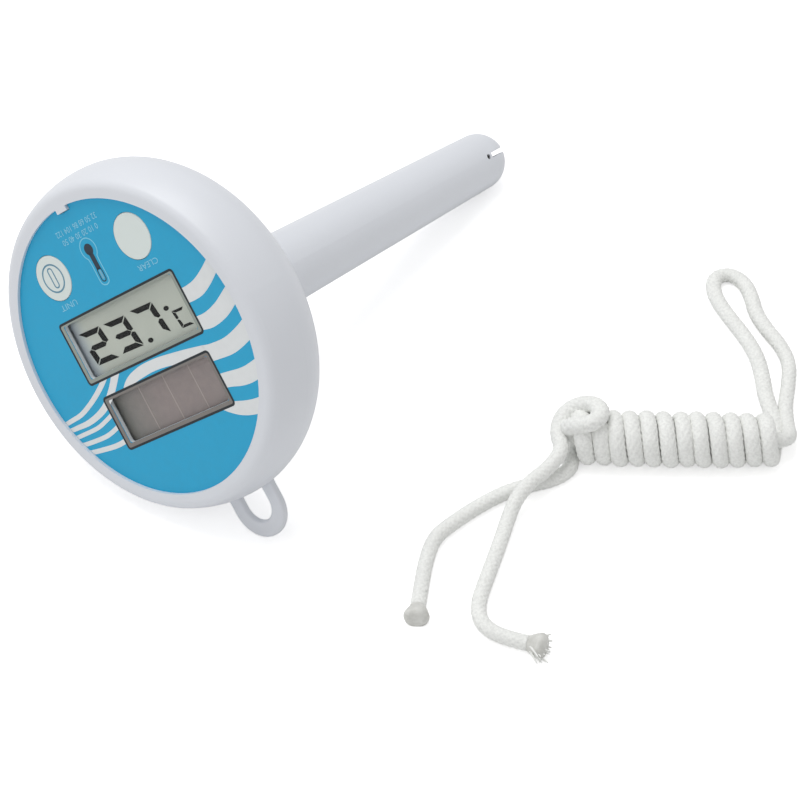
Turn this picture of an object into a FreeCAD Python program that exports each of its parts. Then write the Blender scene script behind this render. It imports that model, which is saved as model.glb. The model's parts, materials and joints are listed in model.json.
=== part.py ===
import FreeCAD, Part
import math
import os

# Floating pool thermometer: a round float with a display face, a tapered stem and a loose braided tether.
# Local frame of the thermometer: x to 3 o'clock, y to 12 o'clock, z out of the face, z = 0 on the lip.
# Row frame: +Z up, the stem points to +Y, everything lies on z = 0. All sizes are in millimetres.

# Head
HEAD_R = 52.5
HEAD_WIDEST = 12.5
BACK_ROUND = 15.4
LIP_ROUND = 3.0
FLARE_ANGLE = math.radians(24.4)
WALL = 2.4
POCKET_R = 45.0
LEDGE_R = 43.2
LEDGE_THICK = 2.4
LEDGE_SLOPE_END = 9.8
TAB_HALF_W = 2.2
TAB_REACH = 1.5
TAB_THICK = 2.2

# Tether eyelet, moulded on at 6 o'clock
EYELET_END = 66.8
EYELET_HALF_W = 9.9
EYELET_DEPTH = 14.0
EYELET_THICK = 2.4
EYELET_EDGE = 0.9
EYELET_ROOT = 50.4
EYELET_SUNK = 1.0
EYELET_TURN = math.radians(0.8)
HOLE_HALF_W = 5.2
HOLE_END = 61.7

# Face stack, depths below the lip
FILM_TOP = 1.0
FILM_THICK = 0.2
DECK_THICK = 2.4
PANE_THICK = 1.2
GASKET_THICK = 0.6
FACE_SHIFT = 1.3
DISPLAY_HALF_W = 25.2
DISPLAY_LOW = -2.6
DISPLAY_HIGH = 14.6
SOLAR_HALF_W = 22.9
SOLAR_LOW = -24.2
SOLAR_HIGH = -10.2
WINDOW_CORNER = 0.9
PANE_MARGIN = 1.4

# Buttons and their switches
BUTTON_X = 18.9
BUTTON_Y = 28.4
BUTTON_R = 6.9
BUTTON_GAP = 0.15
BUTTON_PROUD = 0.15
BUTTON_TRAVEL = 0.4
BUTTON_EDGE = 0.25
FLANGE_R = 7.6
FLANGE_THICK = 0.8
FLANGE_GAP = 0.1
POST_R = 2.2
SWITCH_SIDE = 6.2
SWITCH_CORNER = 0.5
SWITCH_HIGH = 3.1
PLUNGER_R = 1.6
PLUNGER_HIGH = 1.4
PLUNGER_PROUD = 0.7
PLUNGER_GAP = 0.2

# Electronics
LCD_THICK = 2.2
LCD_MARGIN = 2.4
LCD_LEDGE = 1.4
STRIP_WIDE = 2.2
STRIP_CORNER = 0.4
CELL_THICK = 1.0
CELL_MARGIN = 1.9
CELL_STRIPS = 4
CELL_GROOVE = 0.3
WIRE_R = 0.5
WIRE_INSET = 3.5
BOARD_TOP = 9.0
BOARD_THICK = 1.6
BOARD_R = 41.0
BOARD_LOW = -30.0
BOARD_POSTS = (22.0, 158.0, 216.0, 324.0)
BOARD_POST_RING = 37.6
BOARD_POST_R = 2.7
SCREW_R = 1.1
SCREW_HEAD_R = 2.1
SCREW_HEAD_HIGH = 1.3
SCREW_EDGE = 0.5
SCREW_LENGTH = 4.6
CHIP_R = 5.5
CHIP_HIGH = 1.7
CHIP_X = 16.0
CHIP_Y = -10.0
BATTERY_R = 5.8
BATTERY_HIGH = 5.4
BATTERY_EDGE = 0.4
BATTERY_X = -20.0
BATTERY_Y = -8.0
CLIP_THICK = 0.3
CLIP_WIDE = 5.0

# Stem
STEM_LENGTH = 184.9
STEM_ROOT_R = 12.0
STEM_TIP_R = 9.57
STEM_TIP_ROUND = 9.27
SPIGOT_R = 11.0
SPIGOT_HIGH = 12.0
SEAL_SECTION_R = 0.9
SEAL_FROM_BACK = 6.0
BORE_ROOT_R = 8.5
BORE_TIP_R = 7.2
BORE_FLOOR = 13.3
BORE_CORNER = 3.0
BOSS_WALL = 2.2
SLOT_WIDE = 1.6
SLOT_LONG = 12.3
SENSOR_BACK = 14.2
SENSOR_R = 0.9
SENSOR_EDGE = 0.35
SENSOR_OUT = 9.3
SENSOR_IN = 3.6
POTTING_HIGH = 6.0
BALLAST_LONG = 42.0
BALLAST_R = 7.0
BALLAST_CHAMFER = 0.8
LEAD_R = 0.8
LEAD_HOLE_R = 1.2
LEAD_X = 6.0
LEAD_Y = 2.0
LEAD_BEND = 18.0
LEAD_CENTRED = 34.0
LEAD_LAST_BEND = 3.0
LEAD_LAST_RUN = 2.4

# Tether, lying loose on the ground to the right of the float
CORD_D = 4.4
TURNS = 12
TURN_PITCH = 4.9
TURN_R = 5.95
HANK_X = 123.6
HANK_Y = 8.0
HANK_ANGLE = math.radians(31.1)
ARC_SHARE = 0.45
LEAD_SHARE = 0.8
GAP_PLACES = 48
MELT_R = 3.7
MELT_LONG = 5.4
MELT_THROAT = (0.82, 0.3)
MELT_WIDEST = 0.6
MELT_SHOULDER = (0.86, 0.88)
MELT_CROWN = 0.4

CORD_R = CORD_D / 2
HANK_Z = TURN_R + CORD_R
HANK_HALF = TURNS * TURN_PITCH / 2
TURN_RISE = TURN_PITCH / (2 * math.pi)

# Routes by hand, x, y, z in the row frame: the frayed end over the other tail and round into the hank
TAIL_ROUTE = (
    (128.2, -76.8, CORD_R), (120.4, -79.2, CORD_R), (113.0, -78.0, CORD_R), (108.4, -72.4, CORD_R),
    (105.8, -65.0, CORD_R), (103.0, -56.6, CORD_R), (100.2, -48.4, CORD_R), (97.8, -41.6, 2.8),
    (96.4, -35.0, 5.2), (97.0, -28.2, 6.8), (98.8, -21.6, 7.4), (98.2, -16.0, 8.0),
    (95.2, -11.6, 8.7), (96.6, -7.4, 8.9))
# The far loop, from the hank's other end and back to the start of the winding
LOOP_ROUTE = (
    (141.8, 43.4, CORD_R), (138.4, 51.6, CORD_R), (133.8, 61.0, CORD_R),
    (127.2, 67.0, CORD_R), (119.8, 71.2, CORD_R), (113.2, 76.2, CORD_R), (108.4, 82.2, CORD_R),
    (103.2, 87.0, CORD_R), (97.2, 88.4, CORD_R), (93.8, 84.4, CORD_R), (96.2, 78.8, CORD_R),
    (101.0, 74.2, CORD_R), (107.8, 69.6, CORD_R), (115.6, 64.8, CORD_R), (123.0, 59.2, CORD_R),
    (129.0, 52.2, CORD_R), (135.0, 43.6, CORD_R))
# From the end of the winding, under the first tail, to the melted end
END_ROUTE = (
    (99.8, -20.2, CORD_R), (95.0, -25.8, CORD_R), (90.6, -32.2, CORD_R), (87.4, -40.4, CORD_R),
    (85.0, -49.4, CORD_R), (83.4, -58.2, CORD_R), (86.8, -67.2, CORD_R), (91.2, -75.6, CORD_R),
    (95.0, -82.6, CORD_R))
# The straight core inside the winding, as hank coordinates: along, towards the near side, height
CORE_ROUTE = (
    (-27.0, 0.2, 8.2), (-19.0, -0.3, 8.1), (-7.0, 0.3, 8.2), (6.0, -0.3, 8.1), (18.0, 0.3, 8.2),
    (27.4, 0.0, 8.2), (33.0, -1.0, 7.6), (34.7, -6.0, 4.6), (34.2, -11.4, 2.5))

# Worked out from the sizes above
BACK_DEPTH = HEAD_WIDEST + BACK_ROUND
FLARE_R = (HEAD_WIDEST - LIP_ROUND) / math.sin(FLARE_ANGLE) + LIP_ROUND
LIP_FLAT_R = HEAD_R - FLARE_R + (FLARE_R - LIP_ROUND) * math.cos(FLARE_ANGLE)
DECK_TOP = FILM_TOP + FILM_THICK
DECK_BOTTOM = DECK_TOP + DECK_THICK
LEDGE_TOP = DECK_BOTTOM + GASKET_THICK
TAB_TIP = POCKET_R - TAB_REACH
BOARD_BOTTOM = BOARD_TOP + BOARD_THICK
BOSS_R = SPIGOT_R + BOSS_WALL
SPIGOT_TOP = BACK_DEPTH - SPIGOT_HIGH
BORE_END = STEM_LENGTH - BORE_FLOOR
SENSOR_DEPTH = STEM_LENGTH - SENSOR_BACK
POTTING_TOP = BORE_END - POTTING_HIGH
BALLAST_TOP = POTTING_TOP - BALLAST_LONG
FLANGE_TOP = DECK_BOTTOM + FLANGE_GAP
SWITCH_TOP = BOARD_TOP - SWITCH_HIGH
PLUNGER_TOP = SWITCH_TOP - PLUNGER_PROUD


def rest_pose():
    """Tilt of the stem and roll about it, with the head, the eyelet and the stem's tip all on the ground."""
    run = STEM_LENGTH - STEM_TIP_ROUND - HEAD_WIDEST
    drop = (HEAD_R - BACK_ROUND) - (STEM_TIP_R - STEM_TIP_ROUND)
    tilt = math.atan2(drop, run) + math.asin((BACK_ROUND - STEM_TIP_ROUND) / math.hypot(drop, run))
    sin_t = math.sin(tilt)
    cos_t = math.cos(tilt)
    reach = HEAD_WIDEST * sin_t + (HEAD_R - BACK_ROUND) * cos_t + BACK_ROUND
    back_edge = (EYELET_DEPTH + EYELET_THICK / 2 - EYELET_EDGE) * sin_t + EYELET_EDGE
    side = (reach - back_edge) / cos_t - (EYELET_HALF_W - EYELET_EDGE)
    roll = math.acos(side / (EYELET_END - EYELET_HALF_W)) - EYELET_TURN
    return tilt, roll, reach


TILT, ROLL, REACH = rest_pose()
SIN_T = math.sin(TILT)
COS_T = math.cos(TILT)
FRONT_END = SIN_T * LIP_FLAT_R - COS_T * LIP_ROUND + LIP_ROUND
STEM_END = (COS_T * (STEM_LENGTH - STEM_TIP_ROUND) + SIN_T * (STEM_TIP_R - STEM_TIP_ROUND)
            + STEM_TIP_ROUND)


def row_matrix():
    """The one move that lays the thermometer on the ground, its box centred on the origin."""
    out = FreeCAD.Vector(0, -COS_T, SIN_T)
    low = FreeCAD.Vector(0, -SIN_T, -COS_T)
    across = FreeCAD.Vector(1, 0, 0)
    up = -(low * math.cos(ROLL) + across * math.sin(ROLL))
    right = up.cross(out)
    shift = FreeCAD.Vector(0, (FRONT_END - STEM_END) / 2, REACH)
    return FreeCAD.Matrix(right.x, up.x, out.x, shift.x,
                          right.y, up.y, out.y, shift.y,
                          right.z, up.z, out.z, shift.z,
                          0, 0, 0, 1)


def point(radius, z):
    return FreeCAD.Vector(radius, 0, z)


def line(start, end):
    return Part.LineSegment(start, end).toShape()


def arc(centre, radius, start_deg, end_deg):
    """Arc in the x-z plane from one angle to another, angles from +x towards +z."""
    places = []
    for share in (0.0, 0.5, 1.0):
        angle = math.radians(start_deg + share * (end_deg - start_deg))
        places.append(centre + FreeCAD.Vector(radius * math.cos(angle), 0, radius * math.sin(angle)))
    return Part.Arc(places[0], places[1], places[2]).toShape()


def ends(edge):
    return edge.valueAt(edge.FirstParameter), edge.valueAt(edge.LastParameter)


def revolve(path):
    """Solid of revolution about z. The path mixes edges and points in the x-z plane, joined by lines."""
    edges = []
    first = None
    last = None
    for step in path:
        is_edge = hasattr(step, "Curve")
        start, end = ends(step) if is_edge else (step, step)
        if first is None:
            first = start
        elif (start - last).Length > 1e-6:
            edges.append(line(last, start))
        if is_edge:
            edges.append(step)
        last = end
    if (last - first).Length > 1e-6:
        edges.append(line(last, first))
    face = Part.Face(Part.Wire(edges))
    return face.revolve(FreeCAD.Vector(0, 0, 0), FreeCAD.Vector(0, 0, 1), 360)


def disc(radius, top, bottom, x=0.0, y=0.0):
    """Round plate between two depths below the lip."""
    return Part.makeCylinder(radius, bottom - top, FreeCAD.Vector(x, y, -bottom))


def ring(outer, inner, top, bottom, x=0.0, y=0.0):
    return disc(outer, top, bottom, x, y).cut(disc(inner, top - 1, bottom + 1, x, y))


def block(x0, x1, y0, y1, top, bottom, corner=0.0):
    """Plate between two depths, with rounded upright corners where a radius is given."""
    body = Part.makeBox(x1 - x0, y1 - y0, bottom - top, FreeCAD.Vector(x0, y0, -bottom))
    if corner > 0:
        upright = [e for e in body.Edges if abs(e.Vertexes[0].Z - e.Vertexes[1].Z) > 1e-6]
        body = body.makeFillet(corner, upright)
    return body


def window(half_w, low, high, top, bottom, margin=0.0, corner=WINDOW_CORNER):
    """Plate over one of the two face windows, grown by a margin."""
    return block(FACE_SHIFT - half_w - margin, FACE_SHIFT + half_w + margin,
                 low - margin, high + margin, top, bottom, corner)


def display_plate(top, bottom, margin=0.0):
    return window(DISPLAY_HALF_W, DISPLAY_LOW, DISPLAY_HIGH, top, bottom, margin)


def solar_plate(top, bottom, margin=0.0):
    return window(SOLAR_HALF_W, SOLAR_LOW, SOLAR_HIGH, top, bottom, margin)


def button_place(side):
    return FACE_SHIFT + side * BUTTON_X, BUTTON_Y


def post_places():
    places = []
    for degrees in BOARD_POSTS:
        angle = math.radians(degrees)
        places.append((BOARD_POST_RING * math.cos(angle), BOARD_POST_RING * math.sin(angle)))
    return places


def tab_plate(tip, top, bottom, gap=0.0):
    """The lip's locating tab, or the notch round it where a gap is given."""
    return block(-TAB_HALF_W - gap, TAB_HALF_W + gap, tip - gap, POCKET_R + 1.0, top, bottom)


def bore_radius(depth):
    share = (depth - SPIGOT_TOP) / (BORE_END - BORE_CORNER - SPIGOT_TOP)
    return BORE_ROOT_R + share * (BORE_TIP_R - BORE_ROOT_R)


def eyelet():
    """Flat loop with a round end and soft edges, its legs sunk in the head's wall."""
    centre_y = -(EYELET_END - EYELET_HALF_W)
    hole_y = -(HOLE_END - HOLE_HALF_W)
    top = EYELET_DEPTH - EYELET_THICK / 2
    bottom = EYELET_DEPTH + EYELET_THICK / 2
    outer = block(-EYELET_HALF_W, EYELET_HALF_W, centre_y, -EYELET_ROOT, top, bottom)
    outer = outer.fuse(disc(EYELET_HALF_W, top, bottom, 0, centre_y))
    hole = block(-HOLE_HALF_W, HOLE_HALF_W, hole_y, -EYELET_ROOT + EYELET_SUNK, top - 1, bottom + 1)
    hole = hole.fuse(disc(HOLE_HALF_W, top - 1, bottom + 1, 0, hole_y))
    loop = outer.cut(hole).removeSplitter()
    soft = []
    for edge in loop.Edges:
        flat = abs(edge.Vertexes[0].Z - edge.Vertexes[-1].Z) < 1e-6
        free = edge.CenterOfMass.y < -EYELET_ROOT - 0.01
        if flat and free:
            soft.append(edge)
    loop = loop.makeFillet(EYELET_EDGE, soft)
    return loop.rotated(FreeCAD.Vector(0, 0, 0), FreeCAD.Vector(0, 0, 1), math.degrees(EYELET_TURN))


def float_shell():
    """Bowl with a flat lip, a flared side, a rounded back, a panel ledge and a socket for the stem."""
    flare = point(HEAD_R - FLARE_R, -HEAD_WIDEST)
    back = point(HEAD_R - BACK_ROUND, -HEAD_WIDEST)
    lip = point(LIP_FLAT_R, -LIP_ROUND)
    flare_deg = math.degrees(FLARE_ANGLE)
    inner_r = FLARE_R - WALL
    slope_deg = math.degrees(math.asin((HEAD_WIDEST - LEDGE_SLOPE_END) / inner_r))
    profile = [
        point(SPIGOT_R, -BACK_DEPTH),
        arc(back, BACK_ROUND, -90, 0),
        arc(flare, FLARE_R, 0, flare_deg),
        arc(lip, LIP_ROUND, flare_deg, 90),
        point(POCKET_R, 0),
        point(POCKET_R, -LEDGE_TOP),
        point(LEDGE_R, -LEDGE_TOP),
        point(LEDGE_R, -LEDGE_TOP - LEDGE_THICK),
        arc(flare, inner_r, slope_deg, 0),
        arc(back, BACK_ROUND - WALL, 0, -90),
        point(BOSS_R, -BACK_DEPTH + WALL),
        point(BOSS_R, -SPIGOT_TOP),
        point(SPIGOT_R, -SPIGOT_TOP)]
    tab = tab_plate(TAB_TIP, 0, TAB_THICK).common(disc(POCKET_R + 0.5, 0, TAB_THICK))
    return revolve(profile).fuse([tab, eyelet()]).removeSplitter()


def front_panel():
    """Deck under the film, with two rebated windows, two button bores, a notch and the board's posts."""
    deck = disc(POCKET_R, DECK_TOP, DECK_BOTTOM)
    posts = []
    holes = []
    for x, y in post_places():
        posts.append(disc(BOARD_POST_R, DECK_BOTTOM - 0.5, BOARD_TOP, x, y))
        holes.append(disc(SCREW_R, BOARD_BOTTOM - SCREW_LENGTH, BOARD_TOP + 1, x, y))
    pane_top = DECK_BOTTOM - PANE_THICK
    cuts = [display_plate(DECK_TOP - 1, DECK_BOTTOM + 1),
            solar_plate(DECK_TOP - 1, DECK_BOTTOM + 1),
            display_plate(pane_top, DECK_BOTTOM + 1, PANE_MARGIN),
            solar_plate(pane_top, DECK_BOTTOM + 1, PANE_MARGIN),
            tab_plate(TAB_TIP, DECK_TOP - 1, DECK_BOTTOM + 1, BUTTON_GAP)]
    for side in (-1, 1):
        x, y = button_place(side)
        cuts.append(disc(BUTTON_R + BUTTON_GAP, DECK_TOP - 1, DECK_BOTTOM + 1, x, y))
    return deck.fuse(posts).cut(cuts + holes)


def panel_gasket():
    """Flat ring squeezed between the panel and the ledge."""
    return ring(POCKET_R, LEDGE_R, DECK_BOTTOM, LEDGE_TOP)


def face_label():
    film = disc(POCKET_R, FILM_TOP, DECK_TOP)
    cuts = [display_plate(FILM_TOP - 1, DECK_TOP + 1),
            solar_plate(FILM_TOP - 1, DECK_TOP + 1),
            tab_plate(TAB_TIP, FILM_TOP - 1, DECK_TOP + 1, BUTTON_GAP)]
    for side in (-1, 1):
        x, y = button_place(side)
        cuts.append(disc(BUTTON_R + BUTTON_GAP, FILM_TOP - 1, DECK_TOP + 1, x, y))
    return film.cut(cuts)


def display_window():
    return display_plate(DECK_BOTTOM - PANE_THICK, DECK_BOTTOM, PANE_MARGIN)


def solar_window():
    return solar_plate(DECK_BOTTOM - PANE_THICK, DECK_BOTTOM, PANE_MARGIN)


def lcd_display():
    """Two glass plates: the rear one is longer and carries the contact ledge."""
    middle = DECK_BOTTOM + LCD_THICK / 2
    front = display_plate(DECK_BOTTOM, middle, LCD_MARGIN)
    rear = window(DISPLAY_HALF_W, DISPLAY_LOW, DISPLAY_HIGH + LCD_LEDGE,
                  middle, DECK_BOTTOM + LCD_THICK, LCD_MARGIN)
    return front.fuse(rear).removeSplitter()


def zebra_strip():
    """Rubber contact strip between the display's ledge and the board."""
    high = DISPLAY_HIGH + LCD_LEDGE + LCD_MARGIN
    return block(FACE_SHIFT - DISPLAY_HALF_W, FACE_SHIFT + DISPLAY_HALF_W, high - STRIP_WIDE, high,
                 DECK_BOTTOM + LCD_THICK, BOARD_TOP, STRIP_CORNER)


def solar_cell():
    """Cell plate with three scribed lines between its four strips."""
    plate = solar_plate(DECK_BOTTOM, DECK_BOTTOM + CELL_THICK, CELL_MARGIN)
    grooves = []
    step = 2 * SOLAR_HALF_W / CELL_STRIPS
    for count in range(1, CELL_STRIPS):
        x = FACE_SHIFT - SOLAR_HALF_W + count * step
        grooves.append(block(x - CELL_GROOVE / 2, x + CELL_GROOVE / 2, SOLAR_LOW - 3, SOLAR_HIGH + 3,
                             DECK_BOTTOM - 1, DECK_BOTTOM + CELL_GROOVE / 2))
    return plate.cut(grooves)


def solar_leads():
    leads = []
    for side in (-1, 1):
        x = FACE_SHIFT + side * (SOLAR_HALF_W - WIRE_INSET)
        leads.append(disc(WIRE_R, DECK_BOTTOM + CELL_THICK, BOARD_TOP, x, SOLAR_LOW + WIRE_INSET))
    return Part.makeCompound(leads)


def circuit_board():
    board = disc(BOARD_R, BOARD_TOP, BOARD_BOTTOM)
    board = board.cut(block(-BOARD_R, BOARD_R, -BOARD_R - 1, BOARD_LOW, BOARD_TOP - 1, BOARD_BOTTOM + 1))
    holes = []
    for x, y in post_places():
        holes.append(disc(SCREW_R, BOARD_TOP - 1, BOARD_BOTTOM + 1, x, y))
    return board.cut(holes)


def controller_chip():
    """Low resin dome over the bare chip, under the board."""
    ball_r = (CHIP_R ** 2 + CHIP_HIGH ** 2) / (2 * CHIP_HIGH)
    ball = Part.makeSphere(ball_r, FreeCAD.Vector(CHIP_X, CHIP_Y, -BOARD_BOTTOM - CHIP_HIGH + ball_r))
    return ball.common(disc(CHIP_R + 1, BOARD_BOTTOM, BOARD_BOTTOM + CHIP_HIGH + 1, CHIP_X, CHIP_Y))


def board_screws():
    screws = []
    for x, y in post_places():
        shank = disc(SCREW_R, BOARD_BOTTOM - SCREW_LENGTH, BOARD_BOTTOM, x, y)
        head = disc(SCREW_HEAD_R, BOARD_BOTTOM, BOARD_BOTTOM + SCREW_HEAD_HIGH, x, y)
        rim = [e for e in head.Edges if e.CenterOfMass.z < -BOARD_BOTTOM - 1 and e.Length > SCREW_HEAD_R * 6]
        head = head.makeFillet(SCREW_EDGE, rim)
        screws.append(shank.fuse(head).removeSplitter())
    return Part.makeCompound(screws)


def backup_cell():
    top = BOARD_BOTTOM + CLIP_THICK
    can = disc(BATTERY_R, top, top + BATTERY_HIGH, BATTERY_X, BATTERY_Y)
    rims = [e for e in can.Edges if e.Length > BATTERY_R * 6]
    return can.makeFillet(BATTERY_EDGE, rims)


def cell_clip():
    """Bent strip that wraps the cell against the board."""
    top = BOARD_BOTTOM
    bottom = top + BATTERY_HIGH + 2 * CLIP_THICK
    half = CLIP_WIDE / 2
    outer = block(BATTERY_X - BATTERY_R - CLIP_THICK, BATTERY_X + BATTERY_R + CLIP_THICK,
                  BATTERY_Y - half, BATTERY_Y + half, top, bottom)
    inner = block(BATTERY_X - BATTERY_R, BATTERY_X + BATTERY_R + 1,
                  BATTERY_Y - half - 1, BATTERY_Y + half + 1, top + CLIP_THICK, bottom - CLIP_THICK)
    return outer.cut(inner)


def switch_body(side):
    x, y = button_place(side)
    half = SWITCH_SIDE / 2
    case = block(x - half, x + half, y - half, y + half, SWITCH_TOP, BOARD_TOP, SWITCH_CORNER)
    well = disc(PLUNGER_R + PLUNGER_GAP, SWITCH_TOP - 1, PLUNGER_TOP + PLUNGER_HIGH + 2 * BUTTON_TRAVEL, x, y)
    return case.cut(well)


def switch_plunger(side):
    x, y = button_place(side)
    return disc(PLUNGER_R, PLUNGER_TOP, PLUNGER_TOP + PLUNGER_HIGH, x, y)


def push_button(side):
    """Round cap with a soft edge, a retaining flange under the deck and a post down to the switch."""
    x, y = button_place(side)
    top = FILM_TOP - BUTTON_PROUD
    flange_bottom = FLANGE_TOP + FLANGE_THICK
    cap = disc(BUTTON_R, top, flange_bottom, x, y)
    rim = [e for e in cap.Edges if e.CenterOfMass.z > -top - 0.01 and e.Length > BUTTON_R * 6]
    cap = cap.makeFillet(BUTTON_EDGE, rim)
    flange = disc(FLANGE_R, FLANGE_TOP, flange_bottom, x, y)
    post = disc(POST_R, flange_bottom, PLUNGER_TOP, x, y)
    return cap.fuse([flange, post]).removeSplitter()


def stem_outline():
    """Outer outline from the spigot's top down to the tip, on the axis."""
    tip_centre = point(STEM_TIP_R - STEM_TIP_ROUND, -(STEM_LENGTH - STEM_TIP_ROUND))
    seal_top = BACK_DEPTH - SEAL_FROM_BACK - SEAL_SECTION_R
    groove_r = SPIGOT_R - 2 * SEAL_SECTION_R
    return [
        point(SPIGOT_R, -SPIGOT_TOP),
        point(SPIGOT_R, -seal_top),
        point(groove_r, -seal_top),
        point(groove_r, -seal_top - 2 * SEAL_SECTION_R),
        point(SPIGOT_R, -seal_top - 2 * SEAL_SECTION_R),
        point(SPIGOT_R, -BACK_DEPTH),
        point(STEM_ROOT_R, -BACK_DEPTH),
        arc(tip_centre, STEM_TIP_ROUND, 0, -90),
        point(0, -STEM_LENGTH)]


def bore_outline(top):
    """Bore outline from the axis at its floor up to the given depth."""
    corner = point(BORE_TIP_R - BORE_CORNER, -(BORE_END - BORE_CORNER))
    return [point(0, -BORE_END), arc(corner, BORE_CORNER, -90, 0), point(bore_radius(top), -top)]


def sensor_cylinder(inner, outer, radius):
    """Short cylinder that points to 3 o'clock at the root of the tip slot."""
    return Part.makeCylinder(radius, outer - inner, FreeCAD.Vector(inner, 0, -SENSOR_DEPTH),
                             FreeCAD.Vector(1, 0, 0))


def stem_tube():
    """Tapered closed tube with a spigot, a seal groove, a round tip and one slot across the tip."""
    tube = revolve(stem_outline() + bore_outline(SPIGOT_TOP))
    slot = block(-STEM_ROOT_R, STEM_ROOT_R, -SLOT_WIDE / 2, SLOT_WIDE / 2,
                 STEM_LENGTH - SLOT_LONG, STEM_LENGTH + 1)
    return tube.cut([slot, sensor_cylinder(SENSOR_IN, STEM_ROOT_R, SENSOR_R)])


def stem_seal():
    depth = BACK_DEPTH - SEAL_FROM_BACK
    return Part.makeTorus(SPIGOT_R - SEAL_SECTION_R, SEAL_SECTION_R, FreeCAD.Vector(0, 0, -depth))


def sensor_probe():
    """Bead in a short capsule, set in the stem's wall where the slot lets the water in."""
    capsule = sensor_cylinder(SENSOR_IN, SENSOR_OUT, SENSOR_R)
    rim = [e for e in capsule.Edges if e.CenterOfMass.x > SENSOR_OUT - 0.01 and e.Length > SENSOR_R * 6]
    return capsule.makeFillet(SENSOR_EDGE, rim)


def lead_route():
    """From the circuit board into the stem, down its axis, and across to the sensor."""
    return [FreeCAD.Vector(LEAD_X, LEAD_Y, -BOARD_BOTTOM),
            FreeCAD.Vector(LEAD_X, LEAD_Y, -LEAD_BEND),
            FreeCAD.Vector(0.0, 0.0, -LEAD_CENTRED),
            FreeCAD.Vector(0.0, 0.0, -(SENSOR_DEPTH - LEAD_LAST_BEND)),
            FreeCAD.Vector(SENSOR_IN - LEAD_LAST_RUN, 0.0, -SENSOR_DEPTH),
            FreeCAD.Vector(SENSOR_IN, 0.0, -SENSOR_DEPTH)]


def sensor_lead():
    return tube(lead_route(), LEAD_R, "sensor_lead")


def probe_potting():
    """Resin at the foot of the bore that holds the sensor and its lead."""
    plug = revolve(bore_outline(POTTING_TOP) + [point(0, -POTTING_TOP)])
    return plug.cut([sensor_cylinder(SENSOR_IN, STEM_ROOT_R, SENSOR_R), sensor_lead()])


def ballast_weight():
    """Bored steel slug that keeps the stem down in the water."""
    slug = disc(BALLAST_R, BALLAST_TOP, POTTING_TOP)
    rims = [e for e in slug.Edges if e.Length > BALLAST_R * 6]
    slug = slug.makeChamfer(BALLAST_CHAMFER, rims)
    return slug.cut(disc(LEAD_HOLE_R, BALLAST_TOP - 1, POTTING_TOP + 1))


def turn_at(before, here, after):
    """Setback of the tangent points at a corner of a route, and the radius of its arc."""
    back_run = (before - here).Length
    next_run = (after - here).Length
    turn = (here - before).getAngle(after - here)
    setback = ARC_SHARE * min(back_run, next_run)
    return setback, setback / math.tan(turn / 2)


def route_edges(route, name):
    """Straight runs joined by tangent arcs through a route's corners."""
    edges = []
    radii = []
    last = route[0]
    for index in range(1, len(route) - 1):
        here = route[index]
        setback, radius = turn_at(route[index - 1], here, route[index + 1])
        into = (here - route[index - 1]).normalize()
        out = (route[index + 1] - here).normalize()
        start = here - into * setback
        end = here + out * setback
        half_turn = into.getAngle(out) / 2
        bisector = (out - into).normalize()
        centre = here + bisector * (radius / math.cos(half_turn))
        middle = centre - bisector * radius
        edges.append(line(last, start))
        edges.append(Part.Arc(start, middle, end).toShape())
        radii.append(radius)
        last = end
    edges.append(line(last, route[-1]))
    print(name, "arc radii", " ".join("%.1f" % radius for radius in radii))
    return edges


def sweep(edges, radius, name):
    """Round tube along joined edges, its volume compared with section times length."""
    wire = Part.Wire(edges)
    first = edges[0]
    start = first.valueAt(first.FirstParameter)
    heading = first.tangentAt(first.FirstParameter)
    section = Part.Wire(Part.makeCircle(radius, start, heading))
    solid = wire.makePipeShell([section], True, False)
    share = solid.Volume / (math.pi * radius ** 2 * wire.Length)
    print(name, "length %.1f mm, volume share %.4f, valid %s" % (wire.Length, share, solid.isValid()))
    return solid


def tube(route, radius, name):
    return sweep(route_edges(route, name), radius, name)


def hank_axes():
    along = FreeCAD.Vector(math.cos(HANK_ANGLE), math.sin(HANK_ANGLE), 0)
    near = FreeCAD.Vector(math.sin(HANK_ANGLE), -math.cos(HANK_ANGLE), 0)
    return along, near


def hank_point(s, t, z):
    along, near = hank_axes()
    return FreeCAD.Vector(HANK_X, HANK_Y, z) + along * s + near * t


def winding_point(angle):
    """Centre line of the winding: it starts at the far end underneath, moving to the near side."""
    return hank_point(HANK_HALF - TURN_RISE * angle, TURN_R * math.sin(angle),
                      HANK_Z - TURN_R * math.cos(angle))


def winding_heading(angle):
    along, near = hank_axes()
    heading = (near * (TURN_R * math.cos(angle)) - along * TURN_RISE
               + FreeCAD.Vector(0, 0, TURN_R * math.sin(angle)))
    return heading.normalize()


def arc_from(start, heading, end):
    """Arc that leaves a point along a heading and ends at another point."""
    chord = end - start
    turn = heading.getAngle(chord)
    inward = (chord - heading * chord.dot(heading)).normalize()
    radius = chord.Length / (2 * math.sin(turn))
    centre = start + inward * radius
    middle = centre + (start + chord * 0.5 - centre).normalize() * radius
    return Part.Arc(start, middle, end).toShape()


def biarc(start, heading, end, end_heading):
    """Two arcs that leave and arrive along the given headings and share a tangent where they meet."""
    chord = end - start
    total = heading + end_heading
    spread = 2 * (1 - heading.dot(end_heading))
    lean = chord.dot(total)
    reach = (math.sqrt(lean ** 2 + spread * chord.dot(chord)) - lean) / spread
    middle = (start + heading * reach + end - end_heading * reach) * 0.5
    last = arc_from(end, end_heading * -1, middle)
    back = Part.Arc(middle, last.valueAt((last.FirstParameter + last.LastParameter) / 2), end).toShape()
    return [arc_from(start, heading, middle), back]


def winding_ends():
    """The two ends of the winding's straight leads, each one cord diameter long."""
    full = 2 * math.pi * TURNS
    return (winding_point(0) - winding_heading(0) * CORD_D,
            winding_point(full) + winding_heading(full) * CORD_D)


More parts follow.
